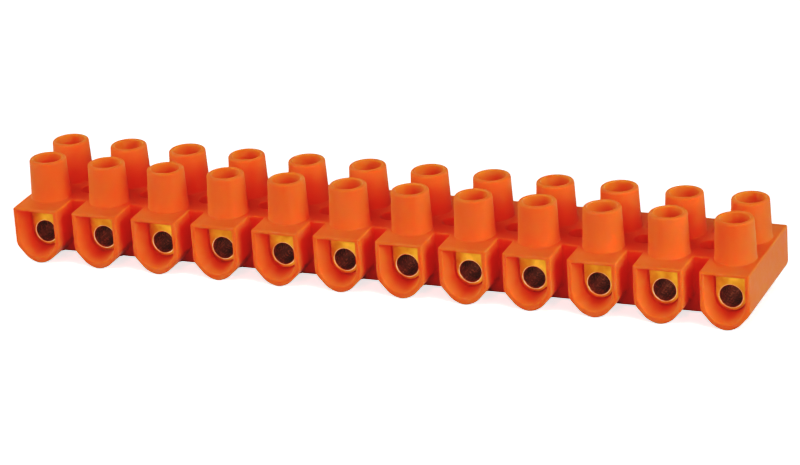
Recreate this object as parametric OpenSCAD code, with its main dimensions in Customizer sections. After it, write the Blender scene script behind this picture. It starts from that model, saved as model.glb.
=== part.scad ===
// Screw terminal strip: one soft moulded housing with a row of poles, a brass
// connector in each pole and two clamping screws over each connector.
// Millimetres. +X runs along the strip, +Y from the front mouths to the rear
// mouths and +Z up. The strip is drawn lying on the noses of its poles, with
// its screws backed out so that the wire bores are open.

/* [Strip] */
// Number of poles in the row
pole_count = 12; // [2:1:12]
// Distance from one pole to the next
pitch = 10; // [9:0.5:16]
// Width of one pole over its two side walls
pole_w = 7.5; // [7:0.1:8.5]
// Depth of the strip from mouth to mouth
strip_depth = 20; // [18:0.5:28]
// Height of a pole from its nose to its flat top
pole_h = 8.9; // [8.6:0.1:11]

/* [Pole section] */
// Radius of the round nose under a pole
nose_r = 3; // [2.2:0.1:3.2]
// Slope of the flanks between the nose and the side walls
flank_angle = 49; // [42:1:52]
// Radius of the knee between a flank and a side wall
knee_r = 1.6; // [0.6:0.1:2]
// Radius of the rounded edges round the top and the ends of a pole
pole_edge_r = 0.3; // [0.1:0.05:0.4]

/* [Wire mouths] */
// Thickness of a side wall at the rim of a mouth
rim_wall = 0.7; // [0.5:0.05:0.9]
// Thickness of the roof at the rim of a mouth
rim_roof = 0.5; // [0.4:0.05:0.8]
// Width of the ledge round the connector at the bottom of a mouth
mouth_ledge = 0.1; // [0.05:0.05:0.3]

/* [Screw chimneys] */
// Distance from a front chimney to the rear chimney of its pole
chimney_spacing = 8; // [7:0.1:9]
// Height of a chimney above the flat top of its pole
chimney_h = 6.3; // [5.5:0.1:9]
// Outside diameter of a chimney at its foot
chimney_foot_d = 6.2; // [6:0.1:6.8]
// Outside diameter of a chimney at its top
chimney_top_d = 5.7; // [5.5:0.1:6]
// Radius of the rounded outer edge at the top of a chimney
chimney_edge_r = 0.35; // [0.2:0.05:0.45]
// Radius of the fillet round the foot of a chimney
chimney_fillet_r = 0.4; // [0.2:0.05:0.5]
// Diameter of the hole that a screw head runs in
screw_hole_d = 4.4; // [4:0.1:4.6]
// Chamfer round the mouth of a screw hole
screw_hole_chamfer = 0.1; // [0.05:0.05:0.2]

/* [Webs] */
// Depth of the web that joins neighbouring poles
web_depth = 9.2; // [6:0.1:12]
// Height of the underside of the web above the noses
web_lift = 0.2; // [0.1:0.1:2]
// Diameter of the fixing hole through each web
fixing_hole_d = 3.2; // [2.6:0.1:3.6]

/* [Connectors] */
// Length of a brass connector
connector_l = 13.6; // [12:0.1:15]
// Width of a brass connector
connector_w = 4.6; // [4.2:0.1:4.8]
// Thickness of the threaded top of a connector above its wire bore
connector_roof = 1.8; // [1.4:0.1:2]
// Diameter of the wire bore
wire_bore_d = 3.4; // [2.8:0.1:3.6]
// Height of the wire bore's axis above the noses
wire_bore_z = 4.1; // [4:0.1:4.4]
// Chamfer round the ends of the wire bore
wire_bore_chamfer = 0.15; // [0.05:0.05:0.3]
// Gap between a connector and the channel that holds it
connector_gap = 0.05; // [0.02:0.01:0.1]

/* [Screws] */
// Diameter of the screw thread
screw_d = 3; // [2.5:0.1:3.2]
// Gap round the screw thread in the connector
thread_gap = 0.05; // [0.02:0.01:0.1]
// Gap round the screw head in its chimney
head_gap = 0.1; // [0.05:0.01:0.1]
// Height of a screw head
head_h = 2.2; // [1.6:0.1:2.6]
// Depth of a backed-out screw head below the top of its chimney
head_sink = 2.4; // [2:0.1:3]
// Radius of the rounded upper edge of a screw head
head_edge_r = 0.25; // [0.1:0.05:0.4]
// Width of the driver slot
slot_w = 0.8; // [0.6:0.1:1]
// Depth of the driver slot
slot_depth = 1.1; // [0.8:0.1:1.4]
// Height of a backed-out screw's tip above the wire bore
tip_gap = 0.1; // [0.05:0.05:0.2]
// Chamfer round the tip of a screw
tip_chamfer = 0.6; // [0.3:0.1:0.8]

/* [Hidden] */
$fn = 64;
// Overrun of a cut past the face that it opens
cut_over = 0.5;

first_x = -(pole_count - 1) * pitch / 2;
chimney_top_z = pole_h + chimney_h;
mouth_depth = (strip_depth - connector_l) / 2;

// Tangent points of the flank on the nose and on the knee
nose_x = nose_r * sin(flank_angle);
nose_z = nose_r * (1 - cos(flank_angle));
knee_z = nose_z + (pole_w / 2 - nose_x) * tan(flank_angle);
knee_run = knee_r * tan((90 - flank_angle) / 2);
knee_flank_x = pole_w / 2 - knee_run * cos(flank_angle);
knee_flank_z = knee_z - knee_run * sin(flank_angle);
knee_side_z = knee_z + knee_run;

// Connector, its channel and the screws over it
connector_top_z = wire_bore_z + wire_bore_d / 2 + connector_roof;
channel_r = connector_w / 2 + connector_gap;
channel_top_z = connector_top_z + connector_gap;
head_d = screw_hole_d - 2 * head_gap;
head_top_z = chimney_top_z - head_sink;
head_under_z = head_top_z - head_h;
tip_z = wire_bore_z + wire_bore_d / 2 + tip_gap;

// Mouth: half widths and roof heights at the rim and at the connector
mouth_rim_r = pole_w / 2 - rim_wall;
mouth_end_r = channel_r + mouth_ledge;
mouth_rim_roof_z = pole_h - rim_roof;
mouth_end_roof_z = channel_top_z + mouth_ledge;

ROWS = ["front", "rear"];
function two_digits(n) = n < 10 ? str("0", n) : str(n);
function connector_name(pole) = str("connector_", two_digits(pole));
function screw_name(row, pole) = str(ROWS[row], "_screw_", two_digits(pole));
function pole_x(pole) = first_x + (pole - 1) * pitch;
function row_y(row) = (row == 0 ? -1 : 1) * chimney_spacing / 2;

// Stands an X-Z outline up and gives it a depth along Y, centred on the strip
module along_depth(depth) {
    rotate([90, 0, 0])
        linear_extrude(depth, center = true)
            children();
}

// Outline of a pole from its mouth: flat top, upright sides, flanks and a round nose
module pole_section() {
    translate([0, nose_r]) circle(nose_r);
    for (side = [-1, 1]) {
        translate([side * (pole_w / 2 - knee_r), knee_side_z]) circle(knee_r);
        translate([side * (pole_w / 2 - pole_edge_r), pole_h - pole_edge_r]) circle(pole_edge_r);
    }
    half = [
        [nose_x, nose_z], [knee_flank_x, knee_flank_z], [pole_w / 2, knee_side_z],
        [pole_w / 2, pole_h - pole_edge_r], [pole_w / 2 - pole_edge_r, pole_h]
    ];
    polygon(concat(half, [for (i = [len(half) - 1 : -1 : 0]) [-half[i].x, half[i].y]]));
}

// Rectangle about the origin with rounded corners
module rounded_rectangle(w, d, r) {
    square([w - 2 * r, d], center = true);
    square([w, d - 2 * r], center = true);
    for (x = [-1, 1]) for (y = [-1, 1])
        translate([x * (w / 2 - r), y * (d / 2 - r)]) circle(r);
}

// Solid block of one pole, with its edges rounded as seen from the end, from above and from the side
module pole_block() {
    intersection() {
        along_depth(strip_depth) pole_section();
        linear_extrude(pole_h) rounded_rectangle(pole_w, strip_depth, pole_edge_r);
        translate([0, 0, pole_h / 2])
            rotate([90, 0, 90])
                linear_extrude(pole_w, center = true) rounded_rectangle(strip_depth, pole_h, pole_edge_r);
    }
}

// Outline of a connector, or of its channel: a round bottom under a flat top
module u_section(r, top_z) {
    translate([0, wire_bore_z]) circle(r);
    translate([-r, wire_bore_z]) square([2 * r, top_z - wire_bore_z]);
}

// Space inside the front mouth: a half-round funnel with flat sides and a sloping roof
module mouth_space() {
    run = mouth_depth + cut_over;
    side_slope = (mouth_rim_r - mouth_end_r) / mouth_depth;
    roof_slope = (mouth_rim_roof_z - mouth_end_roof_z) / mouth_depth;
    open_r = mouth_end_r + run * side_slope;
    open_roof_z = mouth_end_roof_z + run * roof_slope;
    end_y = -connector_l / 2;
    open_y = end_y - run;
    translate([0, open_y, wire_bore_z])
        rotate([-90, 0, 0])
            cylinder(h = run, r1 = open_r, r2 = mouth_end_r);
    intersection() {
        translate([0, 0, wire_bore_z])
            linear_extrude(pole_h)
                polygon([[-open_r, open_y], [open_r, open_y], [mouth_end_r, end_y], [-mouth_end_r, end_y]]);
        rotate([90, 0, 90])
            linear_extrude(2 * pole_w, center = true)
                polygon([[open_y, 0], [end_y, 0], [end_y, mouth_end_roof_z], [open_y, open_roof_z]]);
    }
}

// Chimney round a screw: a slightly tapered tube with a rounded top and a filleted foot
module chimney() {
    taper = (chimney_foot_d - chimney_top_d) / 2 / chimney_h;
    lean = atan(taper);
    edge_z = chimney_h - chimney_edge_r;
    edge_x = chimney_foot_d / 2 - taper * edge_z - chimney_edge_r / cos(lean);
    fillet_x = chimney_foot_d / 2 - taper * chimney_fillet_r + chimney_fillet_r / cos(lean);
    rotate_extrude() {
        translate([edge_x, edge_z]) circle(chimney_edge_r);
        polygon([
            [0, -cut_over], [chimney_foot_d / 2, -cut_over], [chimney_foot_d / 2, 0],
            [edge_x + chimney_edge_r * cos(lean), edge_z + chimney_edge_r * sin(lean)],
            [edge_x, chimney_h], [0, chimney_h]
        ]);
        difference() {
            translate([edge_x, -cut_over]) square([fillet_x - edge_x, cut_over + chimney_fillet_r]);
            translate([fillet_x, chimney_fillet_r]) circle(chimney_fillet_r);
        }
    }
}

// Hole down a chimney and through the roof of the pole to the connector
module screw_hole() {
    translate([0, 0, connector_top_z])
        cylinder(h = chimney_top_z + cut_over - connector_top_z, d = screw_hole_d);
    translate([0, 0, chimney_top_z - screw_hole_chamfer])
        cylinder(h = 2 * screw_hole_chamfer, d1 = screw_hole_d, d2 = screw_hole_d + 4 * screw_hole_chamfer);
}

// The whole moulding: poles, webs and chimneys, opened by mouths, channels and holes
module housing() {
    color("#e8641e")
    difference() {
        union() {
            for (pole = [1 : pole_count]) translate([pole_x(pole), 0, 0]) {
                pole_block();
                for (row = [0, 1]) translate([0, row_y(row), pole_h]) chimney();
            }
            translate([first_x, -web_depth / 2, web_lift])
                cube([(pole_count - 1) * pitch, web_depth, pole_h - web_lift]);
        }
        for (pole = [1 : pole_count]) translate([pole_x(pole), 0, 0]) {
            along_depth(connector_l + cut_over) u_section(channel_r, channel_top_z);
            mouth_space();
            mirror([0, 1, 0]) mouth_space();
            for (row = [0, 1]) translate([0, row_y(row), 0]) screw_hole();
        }
        for (pole = [1 : pole_count - 1]) translate([pole_x(pole) + pitch / 2, 0, 0])
            cylinder(h = pole_h + cut_over, d = fixing_hole_d);
    }
}

// Brass connector: a round-bottomed bar with the wire bore along it and two threads from its top
module connector(pole) {
    color("#d8a02c")
    translate([pole_x(pole), 0, 0])
        difference() {
            along_depth(connector_l) u_section(connector_w / 2, connector_top_z);
            along_depth(connector_l + 2 * cut_over) translate([0, wire_bore_z]) circle(d = wire_bore_d);
            for (turn = [0, 180]) rotate(turn)
                translate([0, -connector_l / 2 - wire_bore_chamfer, wire_bore_z])
                    rotate([-90, 0, 0])
                        cylinder(
                            h = 2 * wire_bore_chamfer,
                            d1 = wire_bore_d + 4 * wire_bore_chamfer,
                            d2 = wire_bore_d
                        );
            for (row = [0, 1]) translate([0, row_y(row), wire_bore_z])
                cylinder(h = connector_top_z - wire_bore_z + cut_over, d = screw_d + 2 * thread_gap);
        }
}

// Slotted clamping screw, standing in its chimney with its tip just above the wire bore
module screw(row, pole) {
    shank_r = screw_d / 2;
    head_r = head_d / 2;
    color("#b9bcbe")
    translate([pole_x(pole), row_y(row), 0])
        difference() {
            rotate_extrude() {
                translate([head_r - head_edge_r, head_top_z - head_edge_r]) circle(head_edge_r);
                polygon([
                    [0, tip_z], [shank_r - tip_chamfer, tip_z], [shank_r, tip_z + tip_chamfer],
                    [shank_r, head_under_z], [head_r, head_under_z], [head_r, head_top_z - head_edge_r],
                    [head_r - head_edge_r, head_top_z], [0, head_top_z]
                ]);
            }
            translate([-head_d, -slot_w / 2, head_top_z - slot_depth])
                cube([2 * head_d, slot_w, slot_depth + cut_over]);
        }
}

housing();
for (pole = [1 : pole_count])
    connector(pole);
for (row = [0, 1])
    for (pole = [1 : pole_count])
        screw(row, pole);
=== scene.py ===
# %% [markdown]
# Screw terminal strip, dressed over its CAD frame.
# The strip is one orange moulding with twelve poles, a brass connector inside each pole and two
# slotted screws over each connector. The CAD frame gives the place and size of every piece, and this
# lesson models the pieces again in Blender with soft edges, threads and finishes.
# Everything starts from the imported frame, so the first cell loads it, with a tool that reads the box
# of a node.

# %% Load the frame
import math

import bmesh
import bpy
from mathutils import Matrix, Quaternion, Vector


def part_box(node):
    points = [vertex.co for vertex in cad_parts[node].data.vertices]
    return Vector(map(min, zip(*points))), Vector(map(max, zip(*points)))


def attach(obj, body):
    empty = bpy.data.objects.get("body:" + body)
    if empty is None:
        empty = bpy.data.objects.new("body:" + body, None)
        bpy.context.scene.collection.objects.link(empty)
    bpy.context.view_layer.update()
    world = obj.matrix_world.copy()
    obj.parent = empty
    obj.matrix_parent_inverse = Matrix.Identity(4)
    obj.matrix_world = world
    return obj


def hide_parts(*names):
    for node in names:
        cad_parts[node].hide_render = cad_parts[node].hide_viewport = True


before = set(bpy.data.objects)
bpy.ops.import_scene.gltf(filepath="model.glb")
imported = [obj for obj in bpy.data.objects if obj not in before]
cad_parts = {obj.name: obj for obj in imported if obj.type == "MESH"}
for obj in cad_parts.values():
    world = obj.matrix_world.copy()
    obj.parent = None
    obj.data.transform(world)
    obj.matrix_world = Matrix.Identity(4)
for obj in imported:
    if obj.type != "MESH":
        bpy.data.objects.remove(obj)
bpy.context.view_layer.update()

MM = 0.001


def in_mm(box):
    """The corners of a box in millimetres, rounded for printing."""
    return [tuple(round(v / MM, 2) for v in corner) for corner in box]


# %% [markdown]
# The camera comes first, because everything else is judged through it.
# The photograph was taken with a long lens from above the right end of the strip, and the camera was
# held a little crooked, so the view has a small roll. A long lens far away keeps the far poles almost
# as large as the near ones, which a short lens close by would not.

# %% Camera
CAMERA_PLACE = Vector((0.199185, -0.467362, 0.212886))
CAMERA_FORWARD = Vector((-0.361178, 0.852887, -0.377007))
CAMERA_ROLL = math.radians(-3.82)
LENS_MM = 164.1
SENSOR_MM = 36.0
NEAREST_SEEN = 0.01

camera_data = bpy.data.cameras.new("camera")
camera_data.lens = LENS_MM
camera_data.sensor_width = SENSOR_MM
camera_data.clip_start = NEAREST_SEEN
camera = bpy.data.objects.new("camera", camera_data)
bpy.context.scene.collection.objects.link(camera)
camera.rotation_mode = "QUATERNION"
camera.location = CAMERA_PLACE
level_view = CAMERA_FORWARD.to_track_quat("-Z", "Y")
camera.rotation_quaternion = level_view @ Quaternion((0, 0, 1), CAMERA_ROLL)
bpy.context.scene.camera = camera
print("camera lens", LENS_MM, "mm, distance", round(CAMERA_PLACE.length, 3), "m")

# %% [markdown]
# A few small tools are used by every piece, and the first ones select.
# The pieces are modelled in millimetres, because bevels and cuts are easier to read as 0.3 than as
# 0.0003, and each finished piece is brought to metres at the end. Operators act on whatever is
# selected, so each step first clears the selection. By hand, edges are picked with the mouse. Here
# they are picked by their place, with a test on their corner points, and where it is asked for, only
# if the two faces beside an edge meet at a sharp angle.

# %% Tools to select
NEAR = 0.01
LONG_EDGE = 1.0
SHARP = math.radians(30)


def to_object_mode():
    """Leaves edit mode and clears the selection."""
    if bpy.context.mode != "OBJECT":
        bpy.ops.object.mode_set(mode="OBJECT")
    bpy.ops.object.select_all(action="DESELECT")


def work_on(piece, mode="OBJECT"):
    """Makes one piece the only selected and active one."""
    to_object_mode()
    piece.select_set(True)
    bpy.context.view_layer.objects.active = piece
    bpy.ops.object.mode_set(mode=mode)


def pick(piece, kind, test, sharp=False):
    """In edit mode, selects the vertices or edges whose corner points pass a test."""
    bpy.ops.mesh.select_mode(type=kind)
    bpy.ops.mesh.select_all(action="DESELECT")
    mesh = bmesh.from_edit_mesh(piece.data)
    parts = mesh.verts if kind == "VERT" else mesh.edges
    chosen = 0
    for part in parts:
        if sharp and part.calc_face_angle(0) < SHARP:
            continue
        corners = [part] if kind == "VERT" else part.verts
        if test([v.co for v in corners]):
            part.select_set(True)
            chosen += 1
    mesh.select_flush_mode()
    bmesh.update_edit_mesh(piece.data)
    return chosen


def at(value, place):
    """True where a coordinate is at a place."""
    return abs(value - place) < NEAR


def all_of(points, test):
    """True if every corner point passes the test."""
    return all(test(v) for v in points)


def runs_along_y(points):
    """True for a long edge that runs along the wire direction."""
    return abs(points[0].y - points[1].y) > LONG_EDGE


print("tools to select ready")

# %% [markdown]
# Almost every piece starts from one of two solids: a block, or a solid turned from a profile, as on a
# lathe. There is no primitive for a profile, so a plane is merged to one point, the point is extruded
# along the profile, and Spin turns the line once round. Double points are then melted together, and
# the two ends are closed with a cap each.

# %% Solids to start from
MELT = 0.002


def block(name, low, high):
    """A box from its low to its high corner, with its place in its mesh."""
    to_object_mode()
    middle = [(a + b) / 2 for a, b in zip(low, high)]
    bpy.ops.mesh.primitive_cube_add(size=1, location=middle)
    piece = bpy.context.object
    piece.name = name
    piece.scale = [b - a for a, b in zip(low, high)]
    bpy.ops.object.transform_apply(location=True, rotation=False, scale=True)
    return piece


def arc(r, z, radius, start, end, steps):
    """Points of a profile along an arc about (r, z), from one angle to another in degrees."""
    angles = [math.radians(start + (end - start) * i / steps) for i in range(steps + 1)]
    return [(r + radius * math.cos(a), z + radius * math.sin(a)) for a in angles]


def drawn(name, start, moves):
    """A line, left in edit mode, from a (radius, height) point along moves out and up."""
    to_object_mode()
    bpy.ops.mesh.primitive_plane_add(size=1, location=(0, 0, 0))
    line = bpy.context.object
    line.name = name
    work_on(line, "EDIT")
    bpy.ops.mesh.select_mode(type="VERT")
    bpy.ops.mesh.select_all(action="SELECT")
    bpy.ops.mesh.merge(type="CENTER")
    bpy.ops.transform.translate(value=(start[0], 0, start[1]))
    for out, up in moves:
        bpy.ops.mesh.extrude_region_move(TRANSFORM_OT_translate={"value": (out, 0, up)})
    return line


def close_skin():
    """In edit mode, melts double points together and turns all faces outwards."""
    bpy.ops.mesh.select_all(action="SELECT")
    bpy.ops.mesh.remove_doubles(threshold=MELT)
    bpy.ops.mesh.normals_make_consistent(inside=False)


def turned(name, profile, sides):
    """A solid turned about the upright axis from a profile of (radius, height) points."""
    moves = [(r1 - r0, z1 - z0) for (r0, z0), (r1, z1) in zip(profile, profile[1:])]
    solid = drawn(name, profile[0], moves)
    bpy.ops.mesh.select_all(action="SELECT")
    bpy.ops.mesh.spin(steps=sides, angle=2 * math.pi, center=(0, 0, 0), axis=(0, 0, 1))
    bpy.ops.mesh.select_all(action="SELECT")
    bpy.ops.mesh.remove_doubles(threshold=MELT)
    for cap_r, cap_z in (profile[0], profile[-1]):
        pick(solid, "EDGE", lambda p: all_of(
            p, lambda v: at(v.z, cap_z) and at(math.hypot(v.x, v.y), cap_r)))
        bpy.ops.mesh.edge_face_add()
    close_skin()
    to_object_mode()
    return solid


print("solids ready")

# %% [markdown]
# The other tools change a piece: they round picked edges, apply a modifier, join or cut solids, repeat
# a solid along the strip, and move it. A move goes into the mesh, and the object stays at the origin,
# as a node of the frame does. The Boolean modifier has several solvers. The exact one is used, because
# it copes with faces that lie in one plane, of which this moulding has many.

# %% Tools to change a piece
ROUND_PROFILE = 0.5
SMOOTH_ANGLE = math.radians(40)


def round_edges(offset, segments):
    """Rounds the selected edges."""
    bpy.ops.mesh.bevel(
        offset=offset, offset_type="OFFSET", segments=segments, profile=ROUND_PROFILE,
        affect="EDGES", clamp_overlap=False, loop_slide=True,
    )


def apply_modifier(piece, kind, **settings):
    """Adds a modifier to a piece, sets it and applies it."""
    work_on(piece)
    modifier = piece.modifiers.new(kind.lower(), kind)
    for name, value in settings.items():
        setattr(modifier, name, value)
    bpy.ops.object.modifier_apply(modifier=modifier.name)


def combine(piece, tool, operation):
    """Joins a solid to a piece, cuts it away or keeps what they share, and deletes the solid."""
    apply_modifier(piece, "BOOLEAN", object=tool, operation=operation, solver="EXACT")
    bpy.data.objects.remove(tool)


def repeat_along_strip(piece, count, step):
    """Copies a piece along the strip into one mesh."""
    apply_modifier(
        piece, "ARRAY", count=count, use_relative_offset=False,
        use_constant_offset=True, constant_offset_displace=(step, 0, 0),
    )


def shift_mesh(piece, offset):
    """Moves a piece and puts its new place into its mesh."""
    work_on(piece)
    piece.location = offset
    bpy.ops.object.transform_apply(location=True, rotation=False, scale=False)


def to_metres(piece):
    """Brings a finished piece from millimetres to metres and smooths its shading."""
    work_on(piece)
    piece.scale = (MM, MM, MM)
    bpy.ops.object.transform_apply(location=False, rotation=False, scale=True)
    bpy.ops.object.shade_smooth_by_angle(angle=SMOOTH_ANGLE)


print("tools to change a piece ready")

# %% [markdown]
# The sizes come from the frame where the box of a node shows them, so a dressed piece always sits where
# its CAD node is. The boxes can't tell the rest, such as the sizes of the moulding's section. Those are
# set in the cells that first need them.

# %% Sizes from the frame
def box_mm(node):
    """A node's low and high corners in millimetres."""
    return [[v / MM for v in corner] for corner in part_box(node)]


connector_nodes = sorted(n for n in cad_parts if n.startswith("connector_"))
screw_nodes = sorted(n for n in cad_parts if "_screw_" in n)
POLES = len(connector_nodes)
housing_low, housing_high = box_mm("housing")
connector_low, connector_high = box_mm(connector_nodes[0])
next_low, next_high = box_mm(connector_nodes[1])
screw_low, screw_high = box_mm("front_screw_01")

FIRST_X = round((connector_low[0] + connector_high[0]) / 2, 2)
PITCH = round((next_low[0] + next_high[0]) / 2 - FIRST_X, 2)
POLE_W = round(2 * (FIRST_X - housing_low[0]), 2)
DEPTH = round(housing_high[1] - housing_low[1], 2)
CHIMNEY_TOP = round(housing_high[2], 2)
CONNECTOR_L = round(connector_high[1] - connector_low[1], 2)
CONNECTOR_W = round(connector_high[0] - connector_low[0], 2)
CONNECTOR_TOP = round(connector_high[2], 2)
SCREW_Y = round(-(screw_low[1] + screw_high[1]) / 2, 2)
HEAD_R = round((screw_high[0] - screw_low[0]) / 2, 2)
HEAD_TOP = round(screw_high[2], 2)
TIP_Z = round(screw_low[2], 2)
BORE_Z = round(connector_low[2] + CONNECTOR_W / 2, 2)
print("poles", POLES, "pitch", PITCH, "pole width", POLE_W)
print("depth", DEPTH, "chimney top", CHIMNEY_TOP)
print("connector", CONNECTOR_L, CONNECTOR_W, CONNECTOR_TOP, "bore height", BORE_Z)
print("screw row", SCREW_Y, "head", HEAD_R, HEAD_TOP, "tip", TIP_Z)

# %% [markdown]
# One pole of the moulding is a block with a flat top, upright sides and a round nose underneath.
# It could be drawn as an outline and extruded, but a block that is cut and rounded shows each step:
# two bisect planes give the sloping flanks, one bevel rounds the nose, and another rounds the knees.
# A bevel that reaches the middle from both sides makes the nose a true arc.

# %% Pole block
POLE_H = 8.9
NOSE_R = 3.0
KNEE_R = 1.6
FLANK = math.radians(49)
NOSE_STEPS = 7
KNEE_STEPS = 5
BOTH_MEET = 0.9999

pole = block("pole", (-POLE_W / 2, -DEPTH / 2, 0), (POLE_W / 2, DEPTH / 2, POLE_H))
nose_x = NOSE_R * math.sin(FLANK)
nose_z = NOSE_R * (1 - math.cos(FLANK))
nose_reach = NOSE_R * math.tan(FLANK / 2)
knee_z = nose_z + (POLE_W / 2 - nose_x) * math.tan(FLANK)
knee_reach = KNEE_R * math.tan((math.pi / 2 - FLANK) / 2)

work_on(pole, "EDIT")
for side in (-1, 1):
    bpy.ops.mesh.select_all(action="SELECT")
    bpy.ops.mesh.bisect(
        plane_co=(side * nose_x, 0, nose_z), use_fill=True, clear_outer=True,
        plane_no=(side * math.sin(FLANK), 0, -math.cos(FLANK)),
    )
pick(pole, "EDGE", lambda p: runs_along_y(p) and at(p[0].z, 0))
round_edges(nose_reach * BOTH_MEET, NOSE_STEPS)
pick(pole, "EDGE", lambda p: runs_along_y(p) and at(p[0].z, knee_z))
round_edges(knee_reach, KNEE_STEPS)
close_skin()
to_object_mode()
print("pole block faces", len(pole.data.polygons))

# %% [markdown]
# The row is twelve poles and one bar of web that runs through them all. The bar is the narrow strip
# of plastic that is cut with a knife when fewer poles are needed. Its top is level with the poles,
# and a union melts it into them, so the moulding stays one closed skin. A limited dissolve then takes
# out the seams that the union leaves on the flat top.

# %% Row of poles and web
WEB_DEPTH = 9.2
WEB_LIFT = 0.2
SEAM_ANGLE = math.radians(0.5)

shift_mesh(pole, (FIRST_X, 0, 0))
repeat_along_strip(pole, POLES, PITCH)
housing = pole
housing.name = "moulded_housing"
web = block("web", (FIRST_X, -WEB_DEPTH / 2, WEB_LIFT), (-FIRST_X, WEB_DEPTH / 2, POLE_H))
combine(housing, web, "UNION")
work_on(housing, "EDIT")
bpy.ops.mesh.select_all(action="SELECT")
bpy.ops.mesh.dissolve_limited(angle_limit=SEAM_ANGLE)
to_object_mode()
print("row of poles", len(housing.data.polygons))

# %% [markdown]
# A moulding has no sharp edge anywhere: the mould's own edges are worn and polished, and the plastic
# shrinks as it cools. Small round edges catch the light, and they are what makes the strip look
# moulded. The edges are picked by their place: the outline of every end, the long top edges, and the
# corners between web and pole. They are bevelled together, so that the corners close properly. Any
# point that the bevel pushes below the floor is brought back up to it.

# %% Round the outer edges
BODY_ROUND = 0.28
BODY_STEPS = 4


def from_pole(x):
    """Distance along the strip from the middle of the nearest pole."""
    return (x - FIRST_X + PITCH / 2) % PITCH - PITCH / 2


def on_body(points):
    """True for an outer edge of the poles, or where the web meets them."""
    on_end = all_of(points, lambda v: at(abs(v.y), DEPTH / 2))
    on_top_side = all_of(
        points, lambda v: at(v.z, POLE_H) and at(abs(from_pole(v.x)), POLE_W / 2))
    on_web = all_of(points, lambda v: at(abs(v.y), WEB_DEPTH / 2))
    return on_end or on_top_side or on_web


work_on(housing, "EDIT")
count = pick(housing, "EDGE", on_body, sharp=True)
round_edges(BODY_ROUND, BODY_STEPS)
pick(housing, "VERT", lambda p: p[0].z < 0)
bpy.ops.transform.resize(value=(1, 1, 0), center_override=(0, 0, 0))
to_object_mode()
print("outer edges rounded", count, "faces", len(housing.data.polygons))

# %% [markdown]
# Two chimneys stand on each pole, one over each screw. A chimney is a tube with a slight taper, so
# that it slips out of the mould, with a rounded top edge and a small fillet round its foot. It is
# turned from a profile, as on a lathe. Its foot is sunk into the pole, and the fillet dips a little
# below the pole's top, so that the union cuts it cleanly. The tube's hole is cut later, together with
# the rest of the hollow.

# %% Chimneys
CHIMNEY_FOOT_R = 3.1
CHIMNEY_TOP_R = 2.85
CHIMNEY_EDGE_R = 0.35
FOOT_FILLET = 0.2
FOOT_DIP = 0.008
FILLET_STEPS = 7
EDGE_STEPS = 6
ROUND_SIDES = 64
SUNK = 0.5

fillet_r = CHIMNEY_FOOT_R + FOOT_FILLET
fillet_z = POLE_H - FOOT_DIP + FOOT_FILLET
edge_r = CHIMNEY_TOP_R - CHIMNEY_EDGE_R
edge_z = CHIMNEY_TOP - CHIMNEY_EDGE_R
profile = [(fillet_r, POLE_H - SUNK)]
profile += arc(fillet_r, fillet_z, FOOT_FILLET, 270, 180, FILLET_STEPS)
profile += arc(edge_r, edge_z, CHIMNEY_EDGE_R, 0, 90, EDGE_STEPS)
for row_y in (-SCREW_Y, SCREW_Y):
    chimneys = turned("chimneys", profile, ROUND_SIDES)
    shift_mesh(chimneys, (FIRST_X, row_y, 0))
    repeat_along_strip(chimneys, POLES, PITCH)
    combine(housing, chimneys, "UNION")
print("housing with chimneys", len(housing.data.polygons))

# %% [markdown]
# The hollow of a pole is what the steel cores of the mould leave behind: a half-round channel for
# the connector, a funnel at each end that guides the wire in, and a round hole up each chimney.
# Two shapes make them all. One is a bar with a half-round bottom, a block whose lower edges are
# bevelled until they meet. The other is a pin with a small flare where it leaves the plastic, which
# leaves a rounded edge there. The flare stops short of level, so it meets the top face at an angle and
# cuts it cleanly.

# %% Shapes of the core
HOLE_LIP = 0.14
LIP_END_ANGLE = 100
LIP_STEPS = 4
U_STEPS = 12


def u_bar(name, half_width, low_y, high_y, top_z):
    """A bar along the wire direction with a half-round bottom about the bore's axis."""
    bar = block(name, (-half_width, low_y, BORE_Z - half_width), (half_width, high_y, top_z))
    work_on(bar, "EDIT")
    pick(bar, "EDGE", lambda p: runs_along_y(p) and at(p[0].z, BORE_Z - half_width))
    round_edges(half_width * BOTH_MEET, U_STEPS)
    close_skin()
    to_object_mode()
    return bar


def flared_pin(name, radius, foot_z, top_z, sides):
    """An upright pin from its foot to above a top face, with a flare that rounds the hole's edge."""
    flare_r = radius + HOLE_LIP
    flare = arc(flare_r, top_z - HOLE_LIP, HOLE_LIP, 180, LIP_END_ANGLE, LIP_STEPS)
    return turned(name, [(radius, foot_z)] + flare + [(flare_r, top_z + SUNK)], sides)


print("shapes of the core ready")

# %% [markdown]
# Each part of the hollow could be cut on its own. Here they are first joined to one solid core, as the
# toolmaker sees it. A funnel starts as a bar of the width that it has just outside the pole, and its
# inner end is then scaled down to a narrow ledge round the channel. The roof of that end is then set to
# its own height, because the funnel narrows less in height than in width.

# %% Core of one pole
CONNECTOR_ROOM = 0.05
LEDGE = 0.1
RIM_WALL = 0.7
RIM_ROOF = 0.5
SCREW_HOLE_R = 2.2

channel_r = CONNECTOR_W / 2 + CONNECTOR_ROOM
channel_top = CONNECTOR_TOP + CONNECTOR_ROOM
channel_end = CONNECTOR_L / 2 + SUNK / 2
mouth_depth = (DEPTH - CONNECTOR_L) / 2
mouth_run = mouth_depth + SUNK
end_r = channel_r + LEDGE
rim_r = POLE_W / 2 - RIM_WALL
end_roof = channel_top + LEDGE
rim_roof = POLE_H - RIM_ROOF
open_r = end_r + (rim_r - end_r) * mouth_run / mouth_depth
open_roof = end_roof + (rim_roof - end_roof) * mouth_run / mouth_depth
shrink = end_r / open_r
shrunk_roof = BORE_Z + (open_roof - BORE_Z) * shrink

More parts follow.
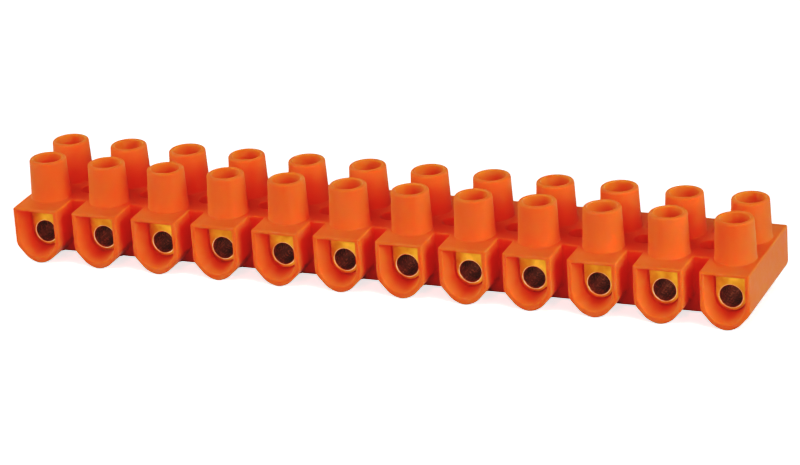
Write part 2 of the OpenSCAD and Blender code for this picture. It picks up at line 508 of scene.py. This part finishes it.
core = u_bar("core", channel_r, -channel_end, channel_end, channel_top)
for side in (-1, 1):
    end_y = side * CONNECTOR_L / 2
    open_y = end_y + side * mouth_run
    funnel = u_bar("funnel", open_r, min(end_y, open_y), max(end_y, open_y), open_roof)
    work_on(funnel, "EDIT")
    pick(funnel, "VERT", lambda p: at(p[0].y, end_y))
    bpy.ops.transform.resize(value=(shrink, 1, shrink), center_override=(0, end_y, BORE_Z))
    pick(funnel, "VERT", lambda p: at(p[0].y, end_y) and at(p[0].z, shrunk_roof))
    bpy.ops.transform.translate(value=(0, 0, end_roof - shrunk_roof))
    combine(core, funnel, "UNION")
    pin = flared_pin("pin", SCREW_HOLE_R, BORE_Z + channel_r, CHIMNEY_TOP, ROUND_SIDES)
    shift_mesh(pin, (0, side * SCREW_Y, 0))
    combine(core, pin, "UNION")
print("core faces", len(core.data.polygons))

# %% [markdown]
# The row of cores is cut out of the row of poles, and then a pin goes through every web, which leaves
# the holes for the screws that fix the strip to a board. Last, the rims of the wire mouths are rounded.

# %% Cut the hollows
FIXING_R = 1.6
RIM_ROUND = 0.18
SMALL_STEPS = 3
MARGIN = 0.1

shift_mesh(core, (FIRST_X, 0, 0))
repeat_along_strip(core, POLES, PITCH)
combine(housing, core, "DIFFERENCE")
fixing_pins = flared_pin("fixing_pins", FIXING_R, -SUNK, POLE_H, ROUND_SIDES)
shift_mesh(fixing_pins, (FIRST_X + PITCH / 2, 0, 0))
repeat_along_strip(fixing_pins, POLES - 1, PITCH)
combine(housing, fixing_pins, "DIFFERENCE")


def on_rim(v):
    """True on the rim of a wire mouth."""
    x = abs(from_pole(v.x))
    near_axis = math.hypot(x, v.z - BORE_Z) if v.z < BORE_Z else x
    in_mouth = near_axis < rim_r + MARGIN and v.z < rim_roof + MARGIN
    return at(abs(v.y), DEPTH / 2) and in_mouth


work_on(housing, "EDIT")
count = pick(housing, "EDGE", lambda p: all_of(p, on_rim), sharp=True)
round_edges(RIM_ROUND, SMALL_STEPS)
to_object_mode()
print("mouth rims rounded", count, "faces", len(housing.data.polygons))

# %% [markdown]
# The housing goes from millimetres to metres. With soft edges, the large flat faces have to stay flat
# in the shading. Plain smooth shading would bend the light across them, so a Weighted Normal modifier
# lets the large faces decide. The housing then takes the place of its CAD node: it is hung on the body
# that it moves with, and the node that it stands for is hidden.

# %% Finish the housing
LOW_CORNER = 0
HIGH_CORNER = 6


def dress(piece, body, node):
    """Hands a finished piece to the frame: its body and the node it stands for."""
    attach(piece, body)
    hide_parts(node)


to_metres(housing)
apply_modifier(housing, "WEIGHTED_NORMAL", keep_sharp=True)
dress(housing, "strip", "housing")
print("housing box", in_mm([housing.bound_box[LOW_CORNER], housing.bound_box[HIGH_CORNER]]))

# %% [markdown]
# A connector is a short brass bar with a round bottom, sawn to length. The wire bore runs through it
# and two threaded holes come down from its top. It is made as the core was, a block with its lower
# edges rounded to a half circle, and then drilled. The saw leaves a small burr that is tumbled off,
# so the end edges and the edge of the bore are rounded, and they show as thin bright rings.

# %% Brass connector
BORE_R = 1.7
THREAD_HOLE_R = 1.55
THREAD_SIDES = 48
BAR_ROUND = 0.12
BORE_ROUND = 0.15

bar = u_bar("brass_connector", CONNECTOR_W / 2, -CONNECTOR_L / 2, CONNECTOR_L / 2, CONNECTOR_TOP)
bpy.ops.mesh.primitive_cylinder_add(
    vertices=ROUND_SIDES, radius=BORE_R, depth=CONNECTOR_L + 2 * SUNK,
    location=(0, 0, BORE_Z), rotation=(math.pi / 2, 0, 0),
)
drill = bpy.context.object
bpy.ops.object.transform_apply(location=True, rotation=True, scale=False)
combine(bar, drill, "DIFFERENCE")
for row_y in (-SCREW_Y, SCREW_Y):
    tap = flared_pin("tap", THREAD_HOLE_R, BORE_Z, CONNECTOR_TOP, THREAD_SIDES)
    shift_mesh(tap, (0, row_y, 0))
    combine(bar, tap, "DIFFERENCE")


def on_bore_edge(v):
    """True on the edge of the wire bore at an end of the bar."""
    return at(abs(v.y), CONNECTOR_L / 2) and at(math.hypot(v.x, v.z - BORE_Z), BORE_R)


def on_bar_end(v):
    """True on the outer edge of an end of the bar."""
    return at(abs(v.y), CONNECTOR_L / 2) and math.hypot(v.x, v.z - BORE_Z) > BORE_R + MARGIN


def on_bar_top(points):
    """True for the long upper edges of the bar."""
    return runs_along_y(points) and at(points[0].z, CONNECTOR_TOP)


work_on(bar, "EDIT")
pick(bar, "EDGE", lambda p: all_of(p, on_bore_edge), sharp=True)
round_edges(BORE_ROUND, SMALL_STEPS)
pick(bar, "EDGE", lambda p: all_of(p, on_bar_end) or on_bar_top(p), sharp=True)
round_edges(BAR_ROUND, SMALL_STEPS)
to_metres(bar)
apply_modifier(bar, "WEIGHTED_NORMAL", keep_sharp=True)
print("connector faces", len(bar.data.polygons))

# %% [markdown]
# What repeats is modelled once and copied. The copies could share one mesh, but then their places
# would have to be in their objects. With a mesh each, every object stays at the origin, and a finish
# can tell one pole from the next by the place of a point.

# %% Row of connectors
def copy_piece(piece, name, x, y):
    """A copy of a piece with its own mesh, moved along and across the strip by millimetres."""
    twin = bpy.data.objects.new(name, piece.data.copy())
    bpy.context.scene.collection.objects.link(twin)
    shift_mesh(twin, (x * MM, y * MM, 0))
    return twin


connectors = []
for number, node in enumerate(connector_nodes):
    twin = copy_piece(bar, f"brass_{node}", FIRST_X + number * PITCH, 0)
    dress(twin, "strip", node)
    connectors.append(twin)
bpy.data.objects.remove(bar)
print("connectors", len(connectors))

# %% [markdown]
# The clamping screw has a round head with a driver slot and a real thread. A thread could be faked
# with stacked rings, but a helix is just as easy: a zigzag profile is extruded point by point, the
# Screw modifier turns it once round the axis while it rises by one pitch, and the turns then meet.
# The thread is cut to length against a plain turned blank with a tapered tip, as on a lathe.

# %% Thread of the screw
SCREW_R = 1.46
THREAD_DEPTH = 0.26
THREAD_PITCH = 0.5
FLANK_SHARE = 0.4
FLAT_SHARE = 0.1
THREAD_STEPS = 36
SPARE_TURNS = 3
HEAD_H = 2.2
TIP_TAPER = 0.6

head_under = HEAD_TOP - HEAD_H
turns = math.ceil((head_under - TIP_Z) / THREAD_PITCH) + SPARE_TURNS
root_r = SCREW_R - THREAD_DEPTH
flank_rise = FLANK_SHARE * THREAD_PITCH
flat_rise = FLAT_SHARE * THREAD_PITCH
one_turn = [
    (THREAD_DEPTH, flank_rise), (0, flat_rise), (-THREAD_DEPTH, flank_rise), (0, flat_rise),
]
screw = drawn("clamp_screw", (root_r, TIP_Z - 2 * THREAD_PITCH), one_turn * turns)
apply_modifier(
    screw, "SCREW", angle=2 * math.pi, screw_offset=THREAD_PITCH, steps=THREAD_STEPS,
    render_steps=THREAD_STEPS, axis="Z", use_smooth_shade=True,
)
work_on(screw, "EDIT")
bpy.ops.mesh.select_all(action="SELECT")
bpy.ops.mesh.remove_doubles(threshold=MELT)
for cut_z, direction in ((TIP_Z - THREAD_PITCH / 2, -1), (head_under + THREAD_PITCH, 1)):
    bpy.ops.mesh.select_all(action="SELECT")
    bpy.ops.mesh.bisect(
        plane_co=(0, 0, cut_z), plane_no=(0, 0, direction), use_fill=True, clear_outer=True,
    )
bpy.ops.mesh.select_all(action="SELECT")
bpy.ops.mesh.normals_make_consistent(inside=False)
blank_r = SCREW_R + NEAR
blank_top = head_under + 2 * THREAD_PITCH
blank = turned("blank", [
    (blank_r - TIP_TAPER, TIP_Z), (blank_r, TIP_Z + TIP_TAPER), (blank_r, blank_top),
], THREAD_SIDES)
combine(screw, blank, "INTERSECT")
print("thread faces", len(screw.data.polygons))

# %% [markdown]
# The head is turned from the same rod, so it is a short round with a rounded upper edge. The slot is
# milled across it. Its edges get a very small round, because a plated edge is never quite sharp.

# %% Head and slot of the screw
HEAD_ROUND = 0.25
HEAD_STEPS = 5
SLOT_W = 0.8
SLOT_DEPTH = 1.1
SLOT_ROUND = 0.05
SLOT_STEPS = 2

profile = [(HEAD_R - SLOT_ROUND, head_under), (HEAD_R, head_under + SLOT_ROUND)]
profile += arc(HEAD_R - HEAD_ROUND, HEAD_TOP - HEAD_ROUND, HEAD_ROUND, 0, 90, HEAD_STEPS)
combine(screw, turned("head", profile, ROUND_SIDES), "UNION")
slot_low = (-2 * HEAD_R, -SLOT_W / 2, HEAD_TOP - SLOT_DEPTH)
slot_high = (2 * HEAD_R, SLOT_W / 2, HEAD_TOP + SUNK)
combine(screw, block("slot", slot_low, slot_high), "DIFFERENCE")


def on_slot_edge(v):
    """True on the two long upper edges of the slot."""
    return at(v.z, HEAD_TOP) and at(abs(v.y), SLOT_W / 2)


work_on(screw, "EDIT")
pick(screw, "EDGE", lambda p: all_of(p, on_slot_edge), sharp=True)
round_edges(SLOT_ROUND, SLOT_STEPS)
to_metres(screw)
print("screw faces", len(screw.data.polygons))

# %% [markdown]
# Every screw goes down by itself, so each is a body of its own in the frame, and a copy rides on the
# body that has its node's name. The name also tells the row and the number of the pole, and with them
# the place of the copy.

# %% Rows of screws
clamp_screws = []
for node in screw_nodes:
    row, number = node.split("_screw_")
    row_y = SCREW_Y if row == "rear" else -SCREW_Y
    twin = copy_piece(screw, f"clamp_{node}", FIRST_X + (int(number) - 1) * PITCH, row_y)
    dress(twin, node, node)
    clamp_screws.append(twin)
bpy.data.objects.remove(screw)
print("screws", len(clamp_screws))

# %% [markdown]
# The finishes are made of nodes that read Object coordinates, so a pattern stays where it is when a
# piece moves. Small helpers add a node, set its sockets and link it. Numbers that are the same all
# over a surface are set on the shader itself.

# %% Finish tools
def new_finish(name):
    """A new material and its main shader."""
    finish = bpy.data.materials.new(name)
    finish.use_nodes = True
    return finish, finish.node_tree.nodes["Principled BSDF"]


def feed(finish, socket, value):
    """Links a socket to another one, or sets it to a number or colour."""
    if isinstance(value, bpy.types.NodeSocket):
        finish.node_tree.links.new(value, socket)
    else:
        socket.default_value = value


def add_node(finish, kind, sockets=None, **settings):
    """Adds a node, sets its settings, and feeds its named sockets."""
    node = finish.node_tree.nodes.new("ShaderNode" + kind)
    for name, value in settings.items():
        setattr(node, name, value)
    for name, value in (sockets or {}).items():
        feed(finish, node.inputs[name], value)
    return node


def set_shader(finish, shader, **sockets):
    """Feeds the shader's own sockets, named with underscores."""
    for name, value in sockets.items():
        feed(finish, shader.inputs[name.replace("_", " ")], value)


def wear(piece, finish):
    """Gives a piece its finish."""
    piece.data.materials.clear()
    piece.data.materials.append(finish)


print("finish tools ready")

# %% [markdown]
# Five kinds of node do most of the work: a sum, a change of range, a blend of two colours, a cloudy
# noise and a bump. Each gets a helper that adds the node and gives back the socket to link on, so a
# finish can be written as a chain of short lines.

# %% Nodes for patterns
def calc(finish, operation, *values, kind="Math"):
    """The number that a sum on numbers, or on vectors, gives."""
    node = add_node(finish, kind, operation=operation)
    for socket, value in zip(node.inputs, values):
        feed(finish, socket, value)
    return node.outputs["Value"]


def remap(finish, value, old_range, new_range):
    """A number brought from one range to another, and held inside it."""
    return add_node(finish, "MapRange", {
        "Value": value, "From Min": old_range[0], "From Max": old_range[1],
        "To Min": new_range[0], "To Max": new_range[1],
    }).outputs["Result"]


def blend_colours(finish, share, first, second):
    """A colour between two others."""
    mix = add_node(finish, "Mix", data_type="RGBA")
    for name, value in (("Factor", share), ("A", first), ("B", second)):
        feed(finish, mix.inputs[name], value)
    return mix.outputs["Result"]


def noise(finish, place, scale, detail, **sockets):
    """A cloudy pattern between 0 and 1."""
    return add_node(finish, "TexNoise", {
        "Vector": place, "Scale": scale, "Detail": detail, **sockets,
    }).outputs["Fac"]


def bump(finish, height, strength, depth, **sockets):
    """The direction of a surface that a pattern of heights makes uneven."""
    return add_node(finish, "Bump", {
        "Height": height, "Strength": strength, "Distance": depth, **sockets,
    }).outputs["Normal"]


print("nodes for patterns ready")

# %% [markdown]
# Three measures are used by the finishes. Edges are rubbed first on any part that is handled, so a
# mask is needed that is 1 on the edges and 0 on the flats. The Bevel node gives it: near an edge the
# rounded normal that it returns leans away from the real one. As the poles repeat, a pattern that
# belongs to one bore or one screw needs its place within its own pole, which a Wrap node gives. The
# third measure is the distance from an axis, for the bores, the rings on the screws' heads and the
# holes of the chimneys.

# %% Measures for the finishes
BEVEL_SAMPLES = 6
EDGE_LIKENESS = (0.995, 0.93)


def edge_mask(finish, width):
    """Is 1 along the edges of a piece and 0 on its flats."""
    rounded = add_node(finish, "Bevel", {"Radius": width}, samples=BEVEL_SAMPLES).outputs["Normal"]
    flat = add_node(finish, "NewGeometry").outputs["Normal"]
    likeness = calc(finish, "DOT_PRODUCT", rounded, flat, kind="VectorMath")
    return remap(finish, likeness, EDGE_LIKENESS, (0, 1))


def pole_place(finish, place):
    """The place of a point as numbers, with x measured from the middle of its own pole."""
    parts = add_node(finish, "SeparateXYZ", {"Vector": place}).outputs
    half = PITCH * MM / 2
    x = calc(finish, "WRAP", calc(finish, "SUBTRACT", parts["X"], FIRST_X * MM), half, -half)
    return x, parts["Y"], parts["Z"]


def far_from(finish, across, along):
    """The distance of a point from an axis, from its two distances at right angles."""
    flat = add_node(finish, "CombineXYZ", {"X": across, "Y": along}).outputs["Vector"]
    return calc(finish, "LENGTH", flat, kind="VectorMath")


def from_screw(finish, x, y):
    """The distance of a point from the upright axis of the screw on its side of its pole."""
    from_row = calc(finish, "SUBTRACT", calc(finish, "ABSOLUTE", y), SCREW_Y * MM)
    return far_from(finish, x, from_row)


print("measures ready")

# %% [markdown]
# The housing is a soft, slightly see-through plastic. Light enters it, is scattered and leaves it
# redder, so thin rims glow and deep gaps turn dark red. A plain diffuse colour would look like paint.
# The shader's subsurface part does this. Faint clouds and the flow marks of the melt vary the colour,
# the edges are rubbed a little paler, and the gloss changes from place to place. The walls of the
# chimneys are so thin that light shines through them, and their holes look pale inside. That glow is
# painted: a lighter tint in the holes stands for it, found by the distance from the screw's axis and
# by the height. The bump is a fine grain from the mould and the slow unevenness of a wall that shrank
# as it cooled.

# %% Orange plastic
ORANGE_DEEP = (0.86, 0.178, 0.050, 1)
ORANGE_PALE = (0.90, 0.208, 0.062, 1)
ORANGE_FLOW = (0.85, 0.146, 0.036, 1)
ORANGE_RUBBED = (0.91, 0.235, 0.075, 1)
ORANGE_PAINTED_GLOW = (0.93, 0.30, 0.07, 1)
RUBBED_DULLNESS = 0.1
SCATTER_REACH = 1.4 * MM
SCATTER_RED_GREEN_BLUE = (1.0, 0.5, 0.15)

plastic, shader = new_finish("orange_plastic")
place = add_node(plastic, "TexCoord").outputs["Object"]
clouds = noise(plastic, place, scale=140, detail=3)
tint = blend_colours(plastic, clouds, ORANGE_DEEP, ORANGE_PALE)
melt = noise(plastic, place, scale=55, detail=4, Distortion=1.6)
flow = remap(plastic, melt, (0.48, 0.72), (0, 0.35))
tint = blend_colours(plastic, flow, tint, ORANGE_FLOW)
scuffs = noise(plastic, place, scale=900, detail=5)
worn = remap(plastic, scuffs, (0.35, 0.7), (0.1, 0.55))
rubbed = calc(plastic, "MULTIPLY", edge_mask(plastic, width=0.3 * MM), worn)
tint = blend_colours(plastic, rubbed, tint, ORANGE_RUBBED)

x, y, z = pole_place(plastic, place)
hole_edge = (SCREW_HOLE_R * MM, (SCREW_HOLE_R + HOLE_LIP) * MM)
in_hole = remap(plastic, from_screw(plastic, x, y), hole_edge, (1, 0))
in_chimney = remap(plastic, z, (CONNECTOR_TOP * MM, POLE_H * MM), (0, 0.6))
# Painted light: the holes of the chimneys are tinted paler, for the glow through their thin walls.
painted_glow = calc(plastic, "MULTIPLY", in_hole, in_chimney)
tint = blend_colours(plastic, painted_glow, tint, ORANGE_PAINTED_GLOW)

moulded = remap(plastic, scuffs, (0.25, 0.75), (0.48, 0.64))
roughness = calc(plastic, "ADD", moulded, calc(plastic, "MULTIPLY", rubbed, RUBBED_DULLNESS))
slow = noise(plastic, place, scale=260, detail=1)
fine = noise(plastic, place, scale=5000, detail=2)
sink = bump(plastic, slow, strength=0.15, depth=0.2 * MM)
grain = bump(plastic, fine, strength=0.25, depth=0.02 * MM, Normal=sink)
set_shader(
    plastic, shader, Base_Color=tint, Roughness=roughness, Normal=grain, Specular_IOR_Level=0.05,
    Subsurface_Weight=1.0, Subsurface_Scale=SCATTER_REACH, Subsurface_Radius=SCATTER_RED_GREEN_BLUE,
)
wear(housing, plastic)
print("plastic nodes", len(plastic.node_tree.nodes))

# %% [markdown]
# The connectors are brass. The sawn ends have fine lines across them and a cloudy colour, and their
# edges are rubbed bright. The rounded burr round the bore carries a thin pale ring, a painted
# highlight: there the colour is paler and the shader less metallic, so the ring stays bright under any
# light. The wall of the bore is painted dark, as shade in the deep bore, with pale streaks that are
# partly scratches where the chips were dragged along and partly painted glints. The bore and the ring
# are found by their distance from the axis. The streaks are two noises multiplied: one changes fast
# with the angle round the axis and slowly along it, and the other breaks it into short pieces.

# %% Brass
BRASS_DEEP = (0.48, 0.155, 0.014, 1)
BRASS_PALE = (0.78, 0.30, 0.045, 1)
BRASS_RUBBED = (1.0, 0.78, 0.38, 1)
BRASS_BURR_GLINT = (1.0, 0.80, 0.50, 1)
BORE_PAINTED_SHADE = (0.38, 0.14, 0.085, 1)
BORE_SCRATCH_GLINT = (1.0, 0.72, 0.52, 1)
BORE_BLUR = (-0.03, 0.04)
BURR_BLUR = (-0.03, 0.05)
STREAKS_ROUND = 7.0
STREAKS_ALONG = 160.0
SAW_STRETCH = (1, 1, 12)

brass, shader = new_finish("sawn_brass")
place = add_node(brass, "TexCoord").outputs["Object"]
x, y, z = pole_place(brass, place)
height = calc(brass, "SUBTRACT", z, BORE_Z * MM)
from_axis = far_from(brass, x, height)
bore_edge = [(BORE_R + blur) * MM for blur in BORE_BLUR]
burr_edge = [(BORE_R + BORE_ROUND + blur) * MM for blur in BURR_BLUR]
outside = remap(brass, from_axis, bore_edge, (0, 1))
ring = calc(brass, "MULTIPLY", outside, remap(brass, from_axis, burr_edge, (1, 0)))
ragged = remap(brass, noise(brass, place, scale=800, detail=3), (0.38, 0.62), (0.3, 0.95))
# Painted highlight: a pale, less metallic ring on the rounded edge of the bore.
burr_glint = calc(brass, "MULTIPLY", ring, ragged)
cloudy = remap(brass, noise(brass, place, scale=500, detail=4), (0.36, 0.64), (0, 1))
clean = blend_colours(brass, cloudy, BRASS_DEEP, BRASS_PALE)
clean = blend_colours(brass, edge_mask(brass, width=0.15 * MM), clean, BRASS_RUBBED)
clean = blend_colours(brass, burr_glint, clean, BRASS_BURR_GLINT)

angle = calc(brass, "ARCTAN2", x, height)
streak_place = add_node(brass, "CombineXYZ", {
    "X": calc(brass, "MULTIPLY", angle, STREAKS_ROUND),
    "Y": calc(brass, "MULTIPLY", y, STREAKS_ALONG),
}).outputs["Vector"]
streaks = remap(brass, noise(brass, streak_place, scale=1.0, detail=5), (0.42, 0.60), (0.15, 1))
chips = remap(brass, noise(brass, place, scale=2400, detail=3), (0.46, 0.60), (0, 1))
scratches_and_glints = calc(brass, "MULTIPLY", streaks, chips)
# The bore's wall is painted dark as shade, and its pale streaks are partly scratches and partly painted
# glints.
painted_bore_shade = blend_colours(brass, scratches_and_glints, BORE_PAINTED_SHADE, BORE_SCRATCH_GLINT)
tint = blend_colours(brass, outside, painted_bore_shade, clean)

sawn_place = add_node(brass, "Mapping", {"Vector": place, "Scale": SAW_STRETCH}).outputs["Vector"]
sawn = noise(brass, sawn_place, scale=1500, detail=3)
dull = remap(brass, outside, (0, 1), (0.16, 0))
set_shader(
    brass, shader, Base_Color=tint, Normal=bump(brass, sawn, strength=0.3, depth=0.02 * MM),
    Metallic=remap(brass, burr_glint, (0, 1), (1.0, 0.4)),
    Roughness=calc(brass, "ADD", dull, remap(brass, sawn, (0.3, 0.7), (0.32, 0.44))),
)
for piece in connectors:
    wear(piece, brass)
print("brass nodes", len(brass.node_tree.nodes))

# %% [markdown]
# The screws are steel with a thin coat of zinc. The lathe leaves rings on the head, which the coat
# only softens, and the coat itself is a cool grey with faint warm and blue clouds. A driver rubs the
# edges of the slot bright. The slot's floor and all below it are painted dark, as painted shade in the
# deep slot, by a measure of the height below the head's top. The rings are a noise of the distance
# from the screw's own axis, so that they are round on every head, and they stay with the screw when it
# goes down.

# %% Zinc plated steel
ZINC_COOL = (0.50, 0.53, 0.57, 1)
ZINC_WARM = (0.70, 0.69, 0.64, 1)
ZINC_RING = (0.38, 0.39, 0.41, 1)
ZINC_RUBBED = (0.82, 0.82, 0.80, 1)
ZINC_SPOT = (0.36, 0.36, 0.35, 1)
SLOT_PAINTED_SHADE = (0.10, 0.09, 0.08, 1)
SHADE_BELOW_TOP = 0.2
SPOT_DULLNESS = 0.2

zinc, shader = new_finish("zinc_plated_steel")
place = add_node(zinc, "TexCoord").outputs["Object"]
x, y, z = pole_place(zinc, place)
ring_place = add_node(zinc, "CombineXYZ", {"X": from_screw(zinc, x, y)}).outputs["Vector"]
rings = noise(zinc, ring_place, scale=5000, detail=2)
clouds = noise(zinc, place, scale=700, detail=4)
coat = blend_colours(zinc, clouds, ZINC_COOL, ZINC_WARM)
coat = blend_colours(zinc, remap(zinc, rings, (0.42, 0.62), (0, 0.4)), coat, ZINC_RING)
coat = blend_colours(zinc, edge_mask(zinc, width=0.12 * MM), coat, ZINC_RUBBED)
spots = remap(zinc, noise(zinc, place, scale=2600, detail=3), (0.58, 0.72), (0, 0.5))
coat = blend_colours(zinc, spots, coat, ZINC_SPOT)
# Painted shade: the slot's floor and everything below it are darkened by their height.
slot_shade_heights = ((HEAD_TOP - SLOT_DEPTH) * MM, (HEAD_TOP - SHADE_BELOW_TOP) * MM)
painted_slot_shade = remap(zinc, z, slot_shade_heights, (0.85, 0))
coat = blend_colours(zinc, painted_slot_shade, coat, SLOT_PAINTED_SHADE)
plated = remap(zinc, rings, (0.3, 0.7), (0.28, 0.40))
set_shader(
    zinc, shader, Base_Color=coat, Metallic=1.0,
    Normal=bump(zinc, rings, strength=0.35, depth=0.03 * MM),
    Roughness=calc(zinc, "ADD", plated, calc(zinc, "MULTIPLY", spots, SPOT_DULLNESS)),
)
for piece in clamp_screws:
    wear(piece, zinc)
print("zinc nodes", len(zinc.node_tree.nodes))

# %% [markdown]
# The strip lies on a plain pale floor, like a lit table that gives off a little light of its own, so
# shadows on it stay faint. The surround is white at the horizon and greyer above. Both show behind the
# strip and in the metal but don't light the plastic, because they would wash the gaps out.

# %% Floor and surround
FLOOR_SIZE = 6.0
WHITE = (1, 1, 1, 1)
PALE_TABLE = (0.85, 0.85, 0.85, 1)
TABLE_GLOW = 0.75
GREY_FROM = 0.35
GREY_STRENGTH = 0.35

to_object_mode()
bpy.ops.mesh.primitive_plane_add(size=FLOOR_SIZE, location=(0, 0, 0))
floor = bpy.context.object
floor.name = "floor"
paper, shader = new_finish("white_table")
set_shader(
    paper, shader, Base_Color=PALE_TABLE, Roughness=0.9, Specular_IOR_Level=0.0,
    Emission_Color=WHITE, Emission_Strength=TABLE_GLOW,
)
wear(floor, paper)
floor.visible_diffuse = False

surround = bpy.data.worlds.new("surround")
surround.use_nodes = True
direction = add_node(surround, "TexCoord").outputs["Generated"]
rise = add_node(surround, "SeparateXYZ", {"Vector": direction}).outputs["Z"]
brightness = remap(surround, rise, (0.0, GREY_FROM), (1.0, GREY_STRENGTH))
backdrop = surround.node_tree.nodes["Background"]
feed(surround, backdrop.inputs["Color"], WHITE)
feed(surround, backdrop.inputs["Strength"], brightness)
surround.cycles_visibility.diffuse = False
bpy.context.scene.world = surround
print("floor", FLOOR_SIZE, "m wide, surround nodes", len(surround.node_tree.nodes))

# %% [markdown]
# Two low soft boxes stand well to the right and to the left, as for a product photograph: each front
# chimney shades the foot of the rear chimney behind it, and the gaps between the poles are reached
# only by light that has already bounced off the orange walls, which turns them deep red. A third box
# lights the back. It is kept out of reflections, because from the front it would lie on the tops as a
# grey sheen. A weak box high up in front lights the tops and the holes, and a weak warm lamp in front
# stands for the light that seeps through the plastic into the gaps. Light bounces often in the gaps,
# so more bounces than usual are counted.

# %% Lights
WARM_RED = (1.0, 0.12, 0.06)
GAP_BOUNCES = 12


def soft_light(name, azimuth, elevation, distance, size, power, colour=(1, 1, 1)):
    """A square soft light that faces the strip, by its angles to the right of the front and up."""
    turn = math.radians(azimuth)
    lift = math.radians(elevation)
    place = distance * Vector((
        math.sin(turn) * math.cos(lift), -math.cos(turn) * math.cos(lift), math.sin(lift)))
    data = bpy.data.lights.new(name, "AREA")
    data.size = size
    data.energy = power
    data.color = colour
    light = bpy.data.objects.new(name, data)
    bpy.context.scene.collection.objects.link(light)
    light.location = place
    light.rotation_mode = "QUATERNION"
    light.rotation_quaternion = (-place).to_track_quat("-Z", "Y")
    return light


soft_light("right box", azimuth=66, elevation=18, distance=0.65, size=0.4, power=3.1)
soft_light("left box", azimuth=-56, elevation=16, distance=0.65, size=0.4, power=2.3)
back_box = soft_light("back box", azimuth=-150, elevation=18, distance=0.7, size=0.5, power=3.6)
back_box.visible_glossy = False
soft_light("top box", azimuth=20, elevation=66, distance=1.0, size=0.5, power=1.3)
soft_light("warm lamp", azimuth=14, elevation=12, distance=0.8, size=0.7, power=2.1, colour=WARM_RED)
bpy.context.scene.cycles.diffuse_bounces = GAP_BOUNCES
print("lights", [light.name for light in bpy.data.lights])

# %% [markdown]
# The photograph was developed hard: its dark tones are pushed down and its middle tones up, so the
# shadows are deep and strongly coloured. Stronger or weaker lights can't do that, because they change
# all tones alike. The curve in Blender's Color Management works as a film does: each point says how
# bright a tone is shown that the camera sees. Its first point is lifted a little, as a film has some
# fog even where no light fell. There is a curve for each colour and one for all of them, which is the
# one used here. The curve acts on the picture alone, not on the finishes.

# %% Tone of the film
CURVE_FOR_ALL = 3
FOG = 0.005
TONE = (
    (0.048, 0.029), (0.117, 0.120), (0.202, 0.235), (0.314, 0.400), (0.578, 0.640),
    (0.80, 0.775), (0.93, 0.88),
)

view = bpy.context.scene.view_settings
view.view_transform = "Standard"
view.use_curve_mapping = True
tone = view.curve_mapping.curves[CURVE_FOR_ALL]
tone.points[0].location = (0, FOG)
for seen, shown in TONE:
    tone.points.new(seen, shown)
view.curve_mapping.update()
print("tone points", len(tone.points))
